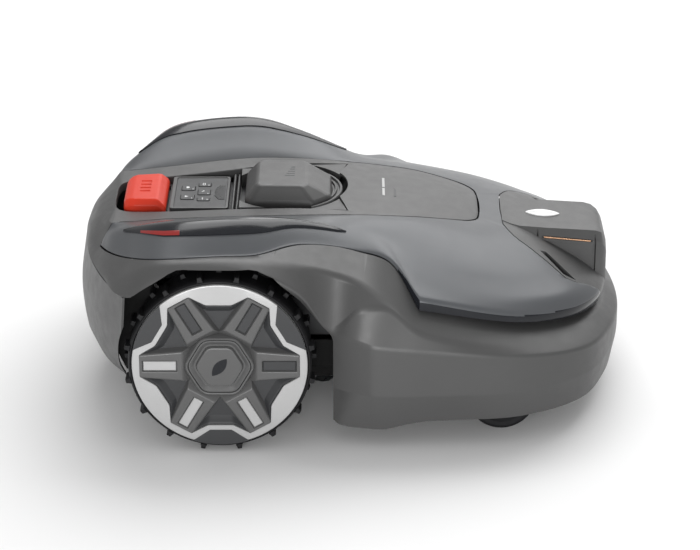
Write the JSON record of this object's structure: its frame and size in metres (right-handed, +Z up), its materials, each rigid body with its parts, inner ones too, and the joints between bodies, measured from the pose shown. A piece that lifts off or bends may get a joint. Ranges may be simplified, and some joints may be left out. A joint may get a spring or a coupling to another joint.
{
  "type": "robotic lawn mower",
  "caption": "Low four-wheeled robotic lawn mower: floating grey cover with stop button, keypad and height knob, driven rear wheels, front casters and a spinning blade disc.",
  "frame": {"origin": "on the ground, below the middle of the body in length and width", "axes": "+X is the direction of travel, +Y is the left side of the mower, +Z is up"},
  "size_m": [0.572, 0.426, 0.2298],
  "materials": {
    "satin_shell": "satin metallic grey moulding",
    "matte_body": "fine-grained matte dark grey moulding",
    "dark_plastic": "dark grey moulded plastic",
    "tyre_rubber": "black rubber",
    "gloss_trim": "high-gloss smoked plastic",
    "silver_trim": "silver-painted plastic",
    "stop_red": "satin red plastic",
    "lamp_red": "clear red lens",
    "contact_copper": "bare copper alloy",
    "steel": "bright steel",
    "green_board": "wrap and solder resist"
  },
  "bodies": {
    "chassis": {"chassis_pan": "dark_plastic", "cutting_chamber": "dark_plastic", "chassis_lid": "dark_plastic", "battery_pack": "green_board", "main_board": "green_board", "drive_motor_left": "steel", "drive_motor_right": "steel", "console_base": "dark_plastic", "keypad_panel": "dark_plastic", "status_window": "gloss_trim"},
    "cover_lift_frame": {"float_frame": "dark_plastic"},
    "cover": {"body_cover": "matte_body", "top_shell": "satin_shell", "rear_bumper": "matte_body", "front_hatch": "matte_body", "front_fairing": "matte_body", "charging_contact_left": "contact_copper", "charging_contact_right": "contact_copper", "badge_plate": "silver_trim", "ridge_strip_left": "gloss_trim", "ridge_strip_right": "gloss_trim", "tail_lamp_left": "lamp_red", "tail_lamp_right": "lamp_red"},
    "drive_wheel_left": {"tyre_left": "tyre_rubber", "wheel_rim_left": "dark_plastic", "wheel_trim_left": "silver_trim", "wheel_cover_left": "matte_body", "hub_cap_left": "dark_plastic", "drive_axle_left": "steel"},
    "drive_wheel_right": {"tyre_right": "tyre_rubber", "wheel_rim_right": "dark_plastic", "wheel_trim_right": "silver_trim", "wheel_cover_right": "matte_body", "hub_cap_right": "dark_plastic", "drive_axle_right": "steel"},
    "caster_left": {"caster_fork_left": "dark_plastic", "caster_axle_left": "steel"},
    "caster_right": {"caster_fork_right": "dark_plastic", "caster_axle_right": "steel"},
    "caster_wheel_left": {"caster_wheel_left": "tyre_rubber"},
    "caster_wheel_right": {"caster_wheel_right": "tyre_rubber"},
    "cutter_carriage": {"motor_carriage": "dark_plastic", "blade_motor": "steel"},
    "blade_rotor": {"blade_disc": "dark_plastic", "blade_shaft": "steel", "blade_screw_1": "steel", "blade_screw_2": "steel", "blade_screw_3": "steel"},
    "skid_plate": {"skid_plate": "dark_plastic"},
    "blade_1": {"blade_1": "steel"},
    "blade_2": {"blade_2": "steel"},
    "blade_3": {"blade_3": "steel"},
    "height_knob": {"height_knob": "matte_body"},
    "stop_button": {"stop_button": "stop_red"},
    "key_1": {"key_1": "dark_plastic"},
    "key_2": {"key_2": "dark_plastic"},
    "key_3": {"key_3": "dark_plastic"},
    "key_4": {"key_4": "dark_plastic"},
    "key_5": {"key_5": "dark_plastic"}
  },
  "joints": [
    {"name": "drive_wheel_left_spin", "type": "hinge", "parent": "chassis", "child": "drive_wheel_left", "pos_m": [-0.1306, 0.188, 0.097], "axis": [0, 1, 0], "continuous": true},
    {"name": "drive_wheel_right_spin", "type": "hinge", "parent": "chassis", "child": "drive_wheel_right", "pos_m": [-0.1306, -0.188, 0.097], "axis": [0, 1, 0], "continuous": true},
    {"name": "caster_left_swivel", "type": "hinge", "parent": "chassis", "child": "caster_left", "pos_m": [0.162, 0.151, 0.085], "axis": [0, 0, 1], "continuous": true},
    {"name": "caster_left_roll", "type": "hinge", "parent": "caster_left", "child": "caster_wheel_left", "pos_m": [0.156, 0.151, 0.035], "axis": [0, 1, 0], "continuous": true},
    {"name": "caster_right_swivel", "type": "hinge", "parent": "chassis", "child": "caster_right", "pos_m": [0.162, -0.151, 0.085], "axis": [0, 0, 1], "continuous": true},
    {"name": "caster_right_roll", "type": "hinge", "parent": "caster_right", "child": "caster_wheel_right", "pos_m": [0.156, -0.151, 0.035], "axis": [0, 1, 0], "continuous": true},
    {"name": "cutting_height", "type": "slide", "parent": "chassis", "child": "cutter_carriage", "axis": [0, 0, 1], "range_m": [0, 0.03]},
    {"name": "height_knob_turn", "type": "hinge", "parent": "chassis", "child": "height_knob", "pos_m": [-0.0685, 0, 0.2], "axis": [0, 0, 1], "range_deg": [0, 300]},
    {"name": "blade_disc_spin", "type": "hinge", "parent": "cutter_carriage", "child": "blade_rotor", "pos_m": [0.022, 0, 0.0275], "axis": [0, 0, 1], "continuous": true},
    {"name": "skid_plate_spin", "type": "hinge", "parent": "cutter_carriage", "child": "skid_plate", "pos_m": [0.022, 0, 0.0175], "axis": [0, 0, 1], "continuous": true},
    {"name": "blade_1_swing", "type": "hinge", "parent": "blade_rotor", "child": "blade_1", "pos_m": [0.102, 0, 0.0234], "axis": [0, 0, 1], "continuous": true},
    {"name": "blade_2_swing", "type": "hinge", "parent": "blade_rotor", "child": "blade_2", "pos_m": [-0.018, 0.06928, 0.0234], "axis": [0, 0, 1], "continuous": true},
    {"name": "blade_3_swing", "type": "hinge", "parent": "blade_rotor", "child": "blade_3", "pos_m": [-0.018, -0.06928, 0.0234], "axis": [0, 0, 1], "continuous": true},
    {"name": "stop_press", "type": "slide", "parent": "chassis", "child": "stop_button", "axis": [0, 0, -1], "range_m": [0, 0.004], "stiffness_N_per_m": 1500, "springref_m": -0.002},
    {"name": "key_1_press", "type": "slide", "parent": "chassis", "child": "key_1", "axis": [0, 0, -1], "range_m": [0, 0.0008], "stiffness_N_per_m": 400, "springref_m": -0.0005},
    {"name": "key_2_press", "type": "slide", "parent": "chassis", "child": "key_2", "axis": [0, 0, -1], "range_m": [0, 0.0008], "stiffness_N_per_m": 400, "springref_m": -0.0005},
    {"name": "key_3_press", "type": "slide", "parent": "chassis", "child": "key_3", "axis": [0, 0, -1], "range_m": [0, 0.0008], "stiffness_N_per_m": 400, "springref_m": -0.0005},
    {"name": "key_4_press", "type": "slide", "parent": "chassis", "child": "key_4", "axis": [0, 0, -1], "range_m": [0, 0.0008], "stiffness_N_per_m": 400, "springref_m": -0.0005},
    {"name": "key_5_press", "type": "slide", "parent": "chassis", "child": "key_5", "axis": [0, 0, -1], "range_m": [0, 0.0008], "stiffness_N_per_m": 400, "springref_m": -0.0005},
    {"name": "cover_lift", "type": "slide", "parent": "chassis", "child": "cover_lift_frame", "axis": [0, 0, 1], "range_m": [0, 0.008]},
    {"name": "cover_shift", "type": "slide", "parent": "cover_lift_frame", "child": "cover", "axis": [1, 0, 0], "range_m": [-0.004, 0.004], "stiffness_N_per_m": 3000}
  ],
  "couplings": [
    {"joint": "height_knob_turn", "follows": "cutting_height", "rad_per_m": 174.53}
  ]
}
